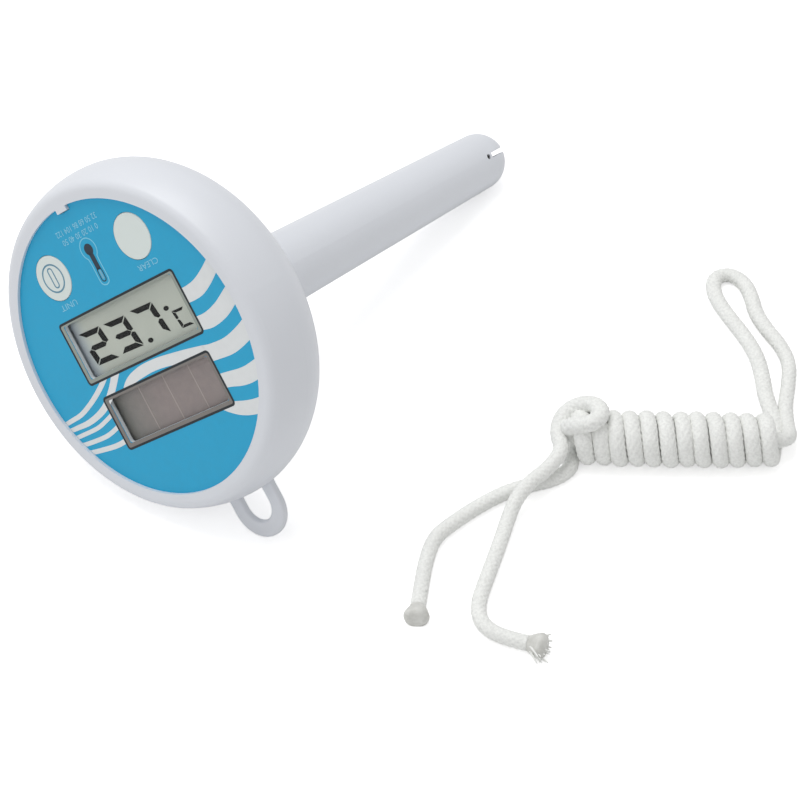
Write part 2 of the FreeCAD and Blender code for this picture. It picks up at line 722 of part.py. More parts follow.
def tether_winding():
    full = 2 * math.pi * TURNS
    lead_in, lead_out = winding_ends()
    edges = [line(lead_in, winding_point(0))]
    for half in range(2 * TURNS):
        angle = half * math.pi
        after = angle + math.pi
        edges += biarc(winding_point(angle), winding_heading(angle),
                       winding_point(after), winding_heading(after))
    edges.append(line(winding_point(full), lead_out))
    places = Part.Wire(edges).discretize(GAP_PLACES * TURNS)
    print("winding least gap to itself %.2f mm" % (least_distance(places, GAP_PLACES // 2) - CORD_D))
    return sweep(edges, CORD_R, "tether_winding")


def least_distance(places, skip):
    """Least distance between two places on one line, leaving out near neighbours along it."""
    least = 1e9
    for index, place in enumerate(places):
        for other in places[index + skip:]:
            least = min(least, (place - other).Length)
    return least


def tether_strand_route():
    """Frayed tail, the straight core inside the winding, the far loop and the lead into the winding."""
    route = [FreeCAD.Vector(*place) for place in TAIL_ROUTE]
    route += [hank_point(*place) for place in CORE_ROUTE]
    route += [FreeCAD.Vector(*place) for place in LOOP_ROUTE]
    lead_in = winding_ends()[0]
    route.append(lead_in - winding_heading(0) * (2 * CORD_D))
    route.append(lead_in)
    return route


def tether_tail_route():
    full = 2 * math.pi * TURNS
    lead_out = winding_ends()[1]
    route = [lead_out, lead_out + winding_heading(full) * (LEAD_SHARE * CORD_D)]
    return route + [FreeCAD.Vector(*place) for place in END_ROUTE]


def tether_strand():
    return tube(tether_strand_route(), CORD_R, "tether_strand")


def tether_tail():
    return tube(tether_tail_route(), CORD_R, "tether_tail")


def melted_end(place, heading):
    """Bulged end where the cord was melted off, cut flat where it lies on the ground."""
    widest = point(MELT_R, MELT_WIDEST * MELT_LONG)
    throat = point(MELT_THROAT[0] * MELT_R, MELT_THROAT[1] * MELT_LONG)
    shoulder = point(MELT_SHOULDER[0] * MELT_R, MELT_SHOULDER[1] * MELT_LONG)
    flare = Part.Arc(point(CORD_R, 0), throat, widest)
    crown = Part.Arc(widest, shoulder, point(MELT_CROWN * MELT_R, MELT_LONG))
    bulb = revolve([point(0, 0), flare.toShape(), crown.toShape(), point(0, MELT_LONG)])
    turn = FreeCAD.Rotation(FreeCAD.Vector(0, 0, 1), heading)
    bulb = bulb.transformed(FreeCAD.Placement(place, turn).toMatrix(), True)
    reach = 2 * MELT_LONG
    ground = Part.makeBox(2 * reach, 2 * reach, reach, FreeCAD.Vector(place.x - reach, place.y - reach, -reach))
    return bulb.cut(ground)


def tether_melt():
    route = tether_tail_route()
    return melted_end(route[-1], (route[-1] - route[-2]).normalize())


def tether_fray():
    route = tether_strand_route()
    return melted_end(route[0], (route[0] - route[1]).normalize())


HEAD_PARTS = {
    "float_shell": float_shell,
    "front_panel": front_panel,
    "panel_gasket": panel_gasket,
    "face_label": face_label,
    "display_window": display_window,
    "solar_window": solar_window,
    "lcd_display": lcd_display,
    "zebra_strip": zebra_strip,
    "solar_cell": solar_cell,
    "solar_leads": solar_leads,
    "circuit_board": circuit_board,
    "controller_chip": controller_chip,
    "board_screws": board_screws,
    "backup_cell": backup_cell,
    "cell_clip": cell_clip,
    "unit_switch": lambda: switch_body(-1),
    "reset_switch": lambda: switch_body(1),
    "unit_plunger": lambda: switch_plunger(-1),
    "reset_plunger": lambda: switch_plunger(1),
    "unit_button": lambda: push_button(-1),
    "reset_button": lambda: push_button(1),
    "stem_tube": stem_tube,
    "stem_seal": stem_seal,
    "sensor_probe": sensor_probe,
    "sensor_lead": sensor_lead,
    "probe_potting": probe_potting,
    "ballast_weight": ballast_weight,
}

TETHER_PARTS = {
    "tether_strand": tether_strand,
    "tether_winding": tether_winding,
    "tether_tail": tether_tail,
    "tether_melt": tether_melt,
    "tether_fray": tether_fray,
}


def build():
    os.makedirs("parts", exist_ok=True)
    print("stem tilt %.3f deg, roll %.3f deg" % (math.degrees(TILT), math.degrees(ROLL)))
    lay_down = row_matrix()
    for name, make in HEAD_PARTS.items():
        shape = make().transformed(lay_down, True)
        shape.exportStep("parts/" + name + ".step")
        box = shape.BoundBox
        print("%-16s valid %s solids %d z from %.3f" % (name, shape.isValid(), len(shape.Solids), box.ZMin))
    for name, make in TETHER_PARTS.items():
        shape = make()
        shape.exportStep("parts/" + name + ".step")
        box = shape.BoundBox
        print("%-16s valid %s solids %d z from %.3f" % (name, shape.isValid(), len(shape.Solids), box.ZMin))


build()
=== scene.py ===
import json
import math

import bpy
import numpy as np
from mathutils import Matrix, Quaternion, Vector


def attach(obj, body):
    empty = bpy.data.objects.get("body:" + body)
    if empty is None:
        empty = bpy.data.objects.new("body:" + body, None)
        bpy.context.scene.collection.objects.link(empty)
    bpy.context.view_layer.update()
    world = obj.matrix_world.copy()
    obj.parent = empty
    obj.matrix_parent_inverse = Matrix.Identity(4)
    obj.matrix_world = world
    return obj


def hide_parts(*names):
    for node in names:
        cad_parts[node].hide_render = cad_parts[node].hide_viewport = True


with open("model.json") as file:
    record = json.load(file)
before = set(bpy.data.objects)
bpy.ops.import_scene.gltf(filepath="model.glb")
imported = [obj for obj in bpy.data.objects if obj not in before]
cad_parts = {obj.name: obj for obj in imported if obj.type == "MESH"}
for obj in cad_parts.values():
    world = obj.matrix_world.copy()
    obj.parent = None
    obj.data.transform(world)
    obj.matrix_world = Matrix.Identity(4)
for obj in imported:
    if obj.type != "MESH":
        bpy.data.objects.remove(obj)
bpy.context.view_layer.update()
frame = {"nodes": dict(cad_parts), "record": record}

MM = 0.001

# Camera, from the lines and round rims of the photographed object
CAMERA_AT = (0.36197, -0.41624, 0.48645)
CAMERA_AZIMUTH = -38.744
CAMERA_ELEVATION = 43.395
CAMERA_ROLL = -4.395
CAMERA_LENS = 103.15
CAMERA_SENSOR = 36.0

# Studio: lamps with their place, target, size and power, the world's light on the object, and the floor
LIGHTS = (
    ("key", (-0.25, 0.05, 1.05), (0.02, 0.0, 0.04), 0.9, 5.6),
    ("fill", (-0.3, -0.9, 0.45), (0.05, 0.0, 0.04), 0.9, 0.9))
WORLD_LIGHT = 0.56
FLOOR_HALF = 3.0
FLOOR_COLOUR = (0.9, 0.9, 0.9)
FLOOR_GLOW = 0.5

# Tether, in metres. Its free points are those of the CAD source, apart from the fold over the hank's left
# end, which was added here and takes the place of three of them.
CORD_D = 0.0044
CORD_R = CORD_D / 2
TURNS = 12
TURN_PITCH = 0.0049
TURN_R = 0.00595
POINTS_PER_TURN = 16
HANK_AT = (0.1236, 0.0080)
HANK_ANGLE = math.radians(31.1)
HANK_Z = TURN_R + CORD_R
HANK_HALF = TURNS * TURN_PITCH / 2
TURN_RISE = TURN_PITCH / (2 * math.pi)
# Uneven turns, in millimetres at each turn's start: to the near side, upwards, and along the hank
NEAR_REACH = (-1.3, -1.0, -0.5, 0.1, 0.3, -0.1, 0.5, 0.4, 0.1, 0.5, -0.2, -0.5, -0.3)
TOP_REACH = (-0.1, 0.1, -0.3, 0.2, 0.0, 0.3, -0.2, 0.2, 0.4, -0.1, 0.2, 0.0, 0.1)
SLIP = (0.0, 0.3, -0.2, 0.4, -0.3, 0.1, 0.5, -0.3, 0.2, -0.4, 0.3, -0.1, 0.0)
LEAD_IN = (3.0, 1.0)
LEAD_OUT = (1.0, 1.8)
TAIL_ROUTE = (
    (0.1282, -0.0768, 0.0022), (0.1204, -0.0792, 0.0022), (0.1130, -0.0780, 0.0022),
    (0.1084, -0.0724, 0.0022), (0.1058, -0.0650, 0.0022), (0.1030, -0.0566, 0.0022),
    (0.1002, -0.0484, 0.0022), (0.0978, -0.0416, 0.0028), (0.0964, -0.0350, 0.0052),
    (0.0970, -0.0282, 0.0068), (0.0988, -0.0216, 0.0074))
FOLD_ROUTE = (
    (-0.0322, 0.0064, 0.0094), (-0.0342, 0.0010, 0.0106), (-0.0328, -0.0042, 0.0130),
    (-0.0280, -0.0066, 0.0155), (-0.0228, -0.0048, 0.0175), (-0.0208, 0.0002, 0.0182),
    (-0.0236, 0.0038, 0.0178), (-0.0280, 0.0028, 0.0160), (-0.0318, -0.0004, 0.0118),
    (-0.0290, 0.0000, 0.0086))
# The cord is thicker round this place in the fold
FOLD_AT = (-0.0280, -0.0008, 0.0150)
FOLD_SWELL = 0.26
FOLD_SPREAD = 0.0075
CORE_ROUTE = (
    (-0.0270, 0.0002, 0.0082), (-0.0190, -0.0003, 0.0081), (-0.0070, 0.0003, 0.0082),
    (0.0060, -0.0003, 0.0081), (0.0180, 0.0003, 0.0082), (0.0274, 0.0000, 0.0082),
    (0.0330, -0.0010, 0.0076), (0.0347, -0.0060, 0.0046), (0.0342, -0.0114, 0.0025))
LOOP_ROUTE = (
    (0.1418, 0.0434, 0.0022), (0.1384, 0.0516, 0.0022), (0.1338, 0.0610, 0.0022),
    (0.1272, 0.0670, 0.0022), (0.1198, 0.0712, 0.0022), (0.1132, 0.0762, 0.0022),
    (0.1084, 0.0822, 0.0022), (0.1032, 0.0870, 0.0022), (0.0972, 0.0884, 0.0022),
    (0.0938, 0.0844, 0.0022), (0.0962, 0.0788, 0.0022), (0.1010, 0.0742, 0.0022),
    (0.1078, 0.0696, 0.0022), (0.1156, 0.0648, 0.0022), (0.1230, 0.0592, 0.0022),
    (0.1290, 0.0522, 0.0022), (0.1350, 0.0436, 0.0022))
END_ROUTE = (
    (0.0998, -0.0202, 0.0022), (0.0950, -0.0258, 0.0022), (0.0906, -0.0322, 0.0022),
    (0.0874, -0.0404, 0.0022), (0.0850, -0.0494, 0.0022), (0.0834, -0.0582, 0.0022),
    (0.0868, -0.0672, 0.0022), (0.0912, -0.0756, 0.0022), (0.0950, -0.0826, 0.0022))

# Braid: yarns each way round, length of one turn of a yarn, mesh steps and relief.
# Wound turns are pressed wider.
YARNS = 8
LAY = 0.016
RING_STEP = 0.00046
RING_SIDES = 48
RELIEF = 0.00044
RELIEF_MIDDLE = 0.75
CROWN_DIP = 0.28
PRESSED = 1.1
PRESSED_BLEND = 41
WOUND_FROM = 0.8
SPLINE_STEPS = 12

# Loose yarn ends, in millimetres. A tip lies this far out, with its offset across scaled and shifted
FIBRES = 34
FIBRE_SEED = 7
FIBRE_SPREAD = 1.9
FIBRE_ROOT = 0.6
FIBRE_TIPS = ((6.8, 1.0, -1.6), (4.6, 1.3, -3.2), (5.2, 2.0, 0.0))
FIBRE_RINGS = ((0.0, 0.42), (0.5, 0.34), (0.9, 0.2))
FIBRE_SIDES = 6
FIBRE_LOWEST = 0.5

# Face, in millimetres in its own axes: x to 3 o'clock, y to 12 o'clock, depths below the lip
LIP_MOUNT_Y = 46.22
EYELET_MOUNT = (0.79, -56.49)
FILM_DEPTH = 1.0
BUTTON_DEPTH = 0.85
GLASS_DEPTH = 3.6
INK = 0.025
INK_GAP = 0.005
LABEL_R = 44.9
DISPLAY = (-23.9, 26.5, -2.6, 14.6)
SOLAR = (-21.6, 24.2, -24.2, -10.2)
DISPLAY_FRAME = (-25.9, 28.25, -4.33, 15.8)
SOLAR_FRAME = (-23.7, 25.9, -26.1, -8.75)
FRAME_LINE = 0.72
FRAME_CORNERS = (1.35, 0.7, 0.5)
LAYER_INSET = 0.03
LAYER_CORNER = 0.6
CELL_LINES = (-10.15, 1.3, 12.75)
CELL_LINE_WIDTH = 0.34
CELL_LINE_INSET = 0.05

# Sign on the left button: ring, and a rounded bar in it
LEFT_BUTTON = (-17.6, 28.4)
BUTTON_RING = (4.2, 0.5)
BUTTON_BAR = (0.9, 1.0, 2.9, 3.1)
BUTTON_BAR_CORNER = 0.9
BUTTON_BAR_LINE = 0.42

# Thermometer sign: light outline, dark bulb and stem, and the tube's empty end
SIGN_BULB = (1.56, 31.0)
SIGN_BULB_R = 3.3
SIGN_BULB_FROM, SIGN_BULB_TO = -52, 232
SIGN_LEFT = ((-0.47, 28.4), (-0.3, 26.6), (-0.3, 24.0), (-0.3, 21.6), (0.2, 20.3), (1.58, 19.8))
SIGN_RIGHT = ((1.58, 19.8), (2.95, 20.3), (3.45, 21.6), (3.45, 24.0), (3.45, 26.6), (3.59, 28.4))
SIGN_LINE = 0.36
MERCURY_AT = (1.53, 30.9)
MERCURY_R = 1.75
MERCURY_STEM = (0.66, 2.5, 30.0, 24.6)
TUBE = (0.62, 2.5, 20.95, 24.9)
TUBE_CORNER = 0.9
TUBE_LINE = 0.34
TUBE_CORE = ((1.56, 24.4), (1.56, 21.7))
TUBE_CORE_WIDTH = 0.75

# Generic lettering, upside down to the digits: words, centre and width
LEGEND_HEIGHT = 1.75
LEGENDS = (
    ("scale_fahrenheit", "32 50 68 86 104 122", (1.5, 38.5), 19.0),
    ("scale_celsius", "0 10 20 30 40 50", (1.3, 35.7), 16.5),
    ("unit_legend", "UNIT", (-17.2, 19.5), 7.6),
    ("reset_legend", "CLEAR", (20.5, 19.5), 8.8))

# Digits: cell corner, width, height, thickness of the bars and the bars that are on
STROKE = 1.6
UPRIGHT = 1.45
BAR_GAP = 0.1
BAR_TOE = 0.2
LEAN = -0.17
SLOPE = -0.03
DIGITS = (
    ((-18.0, 0.2), 10.0, 10.5, STROKE, "abged"),
    ((-6.4, 0.2), 10.0, 10.0, STROKE, "abgcd"),
    ((6.3, 0.0), 10.0, 10.2, STROKE, "abc"),
    ((21.0, -0.6), 5.2, 5.6, 0.8, "afed"))
DOTS = (((7.0, 0.3), 1.15, 0.7), ((18.8, 6.4), 1.1, 0.7))

# White waves on the label: centre line with its first and last width, then upper and lower edges
WAVE_STEPS = 40
BAND_STEPS = 48
WAVES = (
    (((-46.0, -11.5), (-41.0, -11.1), (-35.0, -10.5), (-28.0, -8.3), (-22.0, -5.7), (-17.9, -3.4)),
     1.3, 1.8),
    (((-46.0, -13.6), (-40.0, -13.7), (-33.0, -13.6), (-25.0, -11.8), (-18.3, -8.0), (-12.7, -3.4)),
     1.2, 2.7),
    (((-46.0, -16.4), (-40.0, -16.3), (-32.0, -16.2), (-27.0, -15.3), (-22.2, -14.0)), 1.3, 1.3),
    (((-45.0, -18.8), (-38.0, -19.3), (-31.0, -19.5), (-27.0, -19.1), (-22.2, -18.0)), 1.4, 1.4),
    (((-43.0, -21.6), (-37.0, -22.4), (-31.0, -23.0), (-27.0, -23.2), (-22.2, -22.9)), 1.5, 1.6))
BANDS = (
    (((-14.4, -9.9), (-11.4, -7.5), (-8.0, -6.0), (-4.0, -5.15), (0.0, -4.8), (6.0, -4.9), (12.0, -5.5),
      (18.0, -6.2), (24.8, -7.2)),
     ((-12.6, -9.9), (-9.6, -9.1), (-6.0, -8.6), (-3.0, -8.3), (1.0, -8.05), (5.0, -8.15), (10.0, -8.7),
      (15.0, -9.7), (24.8, -9.9))),
    (((24.7, -7.2), (28.0, -7.7), (34.0, -7.8), (40.0, -6.6), (46.0, -4.6)),
     ((24.7, -12.3), (28.0, -12.6), (34.0, -12.9), (39.0, -12.2), (46.0, -10.4))),
    (((27.0, 9.5), (30.0, 9.5), (34.0, 10.1), (39.0, 12.0), (46.0, 15.6)),
     ((27.0, 5.0), (31.0, 4.9), (35.0, 5.4), (40.0, 7.4), (46.0, 10.8))),
    (((27.0, 0.7), (32.0, 0.7), (37.0, 1.8), (41.0, 3.4), (46.0, 5.6)),
     ((26.9, -3.3), (32.0, -4.0), (37.0, -3.4), (41.0, -2.2), (46.0, 0.1))),
    (((24.7, -16.3), (29.0, -16.7), (34.0, -17.2), (38.0, -17.0), (46.0, -15.8)),
     ((24.7, -20.5), (28.0, -21.1), (32.0, -22.0), (37.0, -22.2), (46.0, -21.0))),
    (((24.7, -24.6), (27.0, -25.3), (31.0, -26.2), (35.0, -26.6), (42.0, -26.6)),
     ((19.0, -25.0), (22.0, -27.3), (26.0, -29.4), (31.0, -30.7), (38.0, -31.4))))


def face_matrix():
    """The face's own axes from the two mounts: x to 3 o'clock, y to 12, z out, origin on the lip."""
    mounts = {m["name"]: m for m in frame["record"]["mounts"]}
    lip = Vector(mounts["lip_face"]["pos_m"])
    hole = Vector(mounts["tether_eyelet"]["pos_m"])
    out = Vector(mounts["lip_face"]["axis"]).normalized()
    line = lip - hole - out * (lip - hole).dot(out)
    line.normalize()
    lean = math.atan2(EYELET_MOUNT[0], LIP_MOUNT_Y - EYELET_MOUNT[1])
    up = line * math.cos(lean) + line.cross(out) * math.sin(lean)
    right = up.cross(out)
    turn = Matrix((right, up, out)).transposed()
    return Matrix.Translation(lip - up * (LIP_MOUNT_Y * MM)) @ turn.to_4x4()


FACE = face_matrix()
EYE = FACE.inverted() @ Vector(CAMERA_AT)


def link(obj):
    bpy.context.scene.collection.objects.link(obj)
    return obj


def mesh_object(name, verts, faces, smooth=False):
    mesh = bpy.data.meshes.new(name)
    mesh.from_pydata([tuple(v) for v in verts], [], [tuple(f) for f in faces])
    mesh.update()
    if smooth:
        mesh.shade_smooth()
    return link(bpy.data.objects.new(name, mesh))


class Nodes:
    """A material's node tree, with short calls to add and join nodes."""

    def __init__(self, name):
        self.material = bpy.data.materials.new(name)
        self.material.use_nodes = True
        self.tree = self.material.node_tree
        self.shader = self.tree.nodes["Principled BSDF"]

    def add(self, kind, **values):
        node = self.tree.nodes.new(kind)
        for key, value in values.items():
            setattr(node, key, value)
        return node

    def join(self, source, target):
        self.tree.links.new(source, target)

    def place(self, matrix=None):
        """Object coordinates, turned into the face's own axes where its matrix is given."""
        coords = self.add("ShaderNodeTexCoord").outputs["Object"]
        if matrix is None:
            return coords
        back = matrix.inverted()
        mapping = self.add("ShaderNodeMapping")
        mapping.inputs["Location"].default_value = back.to_translation()
        mapping.inputs["Rotation"].default_value = back.to_euler()
        self.join(coords, mapping.inputs["Vector"])
        return mapping.outputs["Vector"]

    def part(self, place, axis):
        """One coordinate of a place."""
        split = self.add("ShaderNodeSeparateXYZ")
        self.join(place, split.inputs["Vector"])
        return split.outputs[axis]

    def noise(self, place, scale, detail):
        node = self.add("ShaderNodeTexNoise")
        node.inputs["Scale"].default_value = scale
        node.inputs["Detail"].default_value = detail
        self.join(place, node.inputs["Vector"])
        return node.outputs["Fac"]

    def ramp(self, value, *stops):
        """Colour of a value, from stops of a position and a colour."""
        node = self.add("ShaderNodeValToRGB")
        ramp = node.color_ramp
        while len(ramp.elements) < len(stops):
            ramp.elements.new(0.5)
        for element, (at, colour) in zip(ramp.elements, stops):
            element.position = at
            element.color = (*colour, 1.0)
        self.join(value, node.inputs["Fac"])
        return node.outputs["Color"]

    def remap(self, value, low, high, to_low, to_high):
        node = self.add("ShaderNodeMapRange")
        for key, number in (("From Min", low), ("From Max", high), ("To Min", to_low),
                            ("To Max", to_high)):
            node.inputs[key].default_value = number
        self.join(value, node.inputs["Value"])
        return node.outputs["Result"]

    def tinted(self, share, first, second):
        """One colour going over into another as a share goes from 0 to 1."""
        node = self.add("ShaderNodeMix", data_type="RGBA")
        self.join(share, node.inputs["Factor"])
        self.join(first, node.inputs["A"])
        self.join(second, node.inputs["B"])
        return node.outputs["Result"]

    def bump(self, value, distance):
        node = self.add("ShaderNodeBump")
        node.inputs["Distance"].default_value = distance
        node.inputs["Strength"].default_value = 1.0
        self.join(value, node.inputs["Height"])
        return node.outputs["Normal"]

    def wire(self, socket, value):
        """Joins a node's output to a socket of the shader."""
        self.join(value, self.shader.inputs[socket])

    def set(self, **values):
        """Sets numbers and colours on the shader's own sockets."""
        for key, value in values.items():
            socket = self.shader.inputs[key.replace("_", " ")]
            socket.default_value = (*value, 1.0) if isinstance(value, tuple) else value


def srgb(red, green, blue):
    """Scene-linear colour of an 8-bit screen colour."""
    out = []
    for value in (red, green, blue):
        share = value / 255
        out.append(share / 12.92 if share <= 0.04045 else ((share + 0.055) / 1.055) ** 2.4)
    return tuple(out)


def scaled(colour, share):
    return tuple(min(1.0, part * share) for part in colour)


def moulded(name, colour, roughness, grain=0.00002, mottling=0.04):
    """Moulded plastic: a faint cloudy tone, a fine skin and uneven gloss."""
    nodes = Nodes(name)
    place = nodes.place()
    cloud = nodes.noise(place, 18.0, 3.0)
    nodes.wire("Base Color", nodes.ramp(cloud, (0.3, scaled(colour, 1 - mottling)), (0.7, colour)))
    speck = nodes.noise(place, 900.0, 3.0)
    nodes.wire("Roughness", nodes.remap(speck, 0.3, 0.7, roughness - 0.05, roughness + 0.05))
    nodes.wire("Normal", nodes.bump(nodes.noise(place, 2500.0, 2.0), grain))
    return nodes


def printed(name, colour, roughness=0.42, streak=0.05):
    """Ink on film: an even tone with a slight grain, as a screen print has."""
    nodes = Nodes(name)
    place = nodes.place(FACE)
    grain = nodes.noise(place, 420.0, 3.0)
    wash = nodes.noise(place, 30.0, 2.0)
    fine = nodes.ramp(grain, (0.35, scaled(colour, 1 - streak)), (0.65, scaled(colour, 1 + streak)))
    broad = nodes.ramp(wash, (0.3, scaled(colour, 1 - streak)), (0.7, scaled(colour, 1 + streak / 2)))
    nodes.wire("Base Color", nodes.tinted(nodes.remap(wash, 0.3, 0.7, 0.3, 0.7), fine, broad))
    nodes.wire("Roughness", nodes.remap(grain, 0.3, 0.7, roughness - 0.05, roughness + 0.06))
    nodes.wire("Normal", nodes.bump(grain, 0.000012))
    return nodes


def film_material():
    """Blue printed film of the label."""
    nodes = printed("face_film", srgb(46, 170, 214), 0.45, 0.03)
    nodes.set(Specular_IOR_Level=0.25)
    return nodes


def display_material():
    """Grey-green liquid crystal, with the bluish shade that the recess throws on its left end."""
    nodes = Nodes("display_glass")
    place = nodes.place(FACE)
    cloud = nodes.noise(place, 55.0, 3.0)
    lit = nodes.ramp(cloud, (0.3, srgb(188, 194, 183)), (0.7, srgb(196, 201, 190)))
    shade = nodes.ramp(nodes.remap(nodes.part(place, "X"), -0.0262, -0.0180, 0.0, 1.0),
                       (0.0, srgb(206, 213, 222)), (0.25, srgb(174, 184, 192)),
                       (1.0, srgb(205, 211, 199)))
    mask = nodes.remap(nodes.part(place, "X"), -0.0215, -0.0170, 0.0, 1.0)
    nodes.wire("Base Color", nodes.tinted(mask, shade, lit))
    nodes.wire("Roughness", nodes.remap(cloud, 0.3, 0.7, 0.32, 0.4))
    return nodes


def cell_material():
    """Mauve-grey amorphous cell, greener and darker at its left end, with a fine grain."""
    nodes = Nodes("cell_glass")
    place = nodes.place(FACE)
    grain = nodes.noise(place, 500.0, 4.0)
    left = nodes.ramp(grain, (0.3, srgb(118, 118, 114)), (0.7, srgb(128, 127, 121)))
    right = nodes.ramp(grain, (0.3, srgb(140, 129, 127)), (0.7, srgb(150, 137, 134)))
    share = nodes.remap(nodes.part(place, "X"), -0.0220, -0.0040, 0.0, 1.0)
    nodes.wire("Base Color", nodes.tinted(share, left, right))
    nodes.wire("Roughness", nodes.remap(grain, 0.3, 0.7, 0.3, 0.4))
    return nodes


def clear_material():
    """Clear pane with faint unevenness in its gloss."""
    nodes = Nodes("clear_window")
    speck = nodes.noise(nodes.place(FACE), 260.0, 3.0)
    nodes.wire("Base Color", nodes.ramp(speck, (0.3, srgb(226, 230, 230)), (0.7, srgb(236, 239, 238))))
    nodes.wire("Roughness", nodes.remap(speck, 0.3, 0.7, 0.05, 0.1))
    nodes.set(Alpha=0.03, Specular_IOR_Level=0.25)
    return nodes


def rubber_material(name, colour):
    """Matt rubber or vinyl."""
    nodes = moulded(name, colour, 0.75, 0.00004, 0.12)
    nodes.set(IOR=1.45)
    return nodes


def metal_material():
    """Steel with fine streaks."""
    nodes = Nodes("steel")
    place = nodes.place()
    streak = nodes.noise(place, 700.0, 5.0)
    nodes.wire("Base Color", nodes.ramp(streak, (0.3, srgb(196, 198, 202)), (0.7, srgb(214, 215, 218))))
    nodes.wire("Roughness", nodes.remap(streak, 0.3, 0.7, 0.25, 0.42))
    nodes.set(Metallic=1.0)
    return nodes


def board_material():
    """Green resin over a woven board."""
    nodes = Nodes("board_resin")
    place = nodes.place(FACE)
    weave = nodes.noise(place, 900.0, 2.0)
    nodes.wire("Base Color", nodes.ramp(weave, (0.35, srgb(28, 92, 56)), (0.65, srgb(34, 108, 64))))
    nodes.wire("Roughness", nodes.remap(weave, 0.3, 0.7, 0.35, 0.5))
    nodes.wire("Normal", nodes.bump(weave, 0.00002))
    return nodes


def melted_material():
    """Cord fibres melted into a waxy knob."""
    nodes = Nodes("melted_cord")
    place = nodes.place()
    lump = nodes.noise(place, 420.0, 4.0)
    nodes.wire("Base Color", nodes.ramp(lump, (0.3, srgb(205, 205, 200)), (0.7, srgb(228, 228, 224))))
    nodes.wire("Roughness", nodes.remap(lump, 0.3, 0.7, 0.4, 0.6))
    nodes.wire("Normal", nodes.bump(lump, 0.0005))
    return nodes


def slot_materials():
    return {
        "shell_plastic": moulded("shell_plastic", srgb(226, 229, 235), 0.36, 0.000015, 0.03),
        "panel_plastic": moulded("panel_plastic", srgb(214, 220, 224), 0.5),
        "face_film": film_material(),
        "clear_window": clear_material(),
        "button_plastic": moulded("button_plastic", srgb(225, 234, 231), 0.5, 0.00003),
        "display_glass": display_material(),
        "cell_glass": cell_material(),
        "seal_rubber": rubber_material("seal_rubber", srgb(48, 48, 50)),
        "board_resin": board_material(),
        "black_resin": moulded("black_resin", srgb(32, 32, 34), 0.3, 0.00003, 0.15),
        "switch_plastic": moulded("switch_plastic", srgb(38, 38, 40), 0.5, 0.00003, 0.1),
        "steel": metal_material(),
        "lead_jacket": rubber_material("lead_jacket", srgb(196, 196, 198)),
        "tether_braid": braid_material(),
        "melted_cord": melted_material()}


def paint_nodes(materials):
    """Every CAD node takes the material of its slot in the record."""
    for entry in frame["record"]["subparts"]:
        mesh = frame["nodes"][entry["node"]].data
        mesh.materials.clear()
        mesh.materials.append(materials[entry["material_slot"]].material)


def smoothed(points, count):
    """Even steps on a smooth curve that passes through hand-set points."""
    points = np.array(points, float)
    padded = np.vstack([2 * points[0] - points[1], points, 2 * points[-1] - points[-2]])
    spans = len(points) - 1
    places = []
    for value in np.linspace(0, spans, count):
        index = min(int(value), spans - 1)
        t = value - index
        a, b, c, d = padded[index:index + 4]
        places.append(0.5 * (2 * b + (c - a) * t + (2 * a - 5 * b + 4 * c - d) * t * t
                             + (3 * b - a - 3 * c + d) * t ** 3))
    return np.array(places)


def stroke_edges(line, widths, closed=False):
    """The two edges of a line drawn with a pen of the given widths."""
    line = np.array(line, float)
    if closed:
        along = np.roll(line, -1, axis=0) - np.roll(line, 1, axis=0)
    else:
        along = np.gradient(line, axis=0)
    along /= np.linalg.norm(along, axis=1)[:, None]
    across = np.stack([-along[:, 1], along[:, 0]], axis=1) * (np.array(widths) / 2)[..., None]
    return line + across, line - across


def within_label(edge):
    """Points beyond the label's rim brought back onto it."""
    edge = np.array(edge, float)
    radius = np.linalg.norm(edge, axis=1)
    return edge * np.minimum(1.0, LABEL_R / radius)[:, None]


def rounded(low_x, high_x, low_y, high_y, corner, steps=8):
    """Rectangle with round corners, counterclockwise."""
    places = []
    centres = ((high_x - corner, high_y - corner), (low_x + corner, high_y - corner),
               (low_x + corner, low_y + corner), (high_x - corner, low_y + corner))
    for (centre_x, centre_y), start in zip(centres, (0, 90, 180, 270)):
        for step in range(steps + 1):
            angle = math.radians(start + 90 * step / steps)
            places.append((centre_x + corner * math.cos(angle), centre_y + corner * math.sin(angle)))
    return places


def oval(centre, half_x, half_y, steps=40):
    """Closed oval outline, counterclockwise."""
    turns = np.arange(steps) * 2 * math.pi / steps
    return np.stack([centre[0] + half_x * np.cos(turns), centre[1] + half_y * np.sin(turns)], axis=1)


def seen_at(places, depth):
    """Places on a deeper plane that the camera sees over the given places of the film's plane."""
    places = np.array(places, float)
    eye = np.array((EYE.x, EYE.y)) / MM
    share = (depth - FILM_DEPTH) / (EYE.z / MM + FILM_DEPTH)
    return places + (places - eye) * share


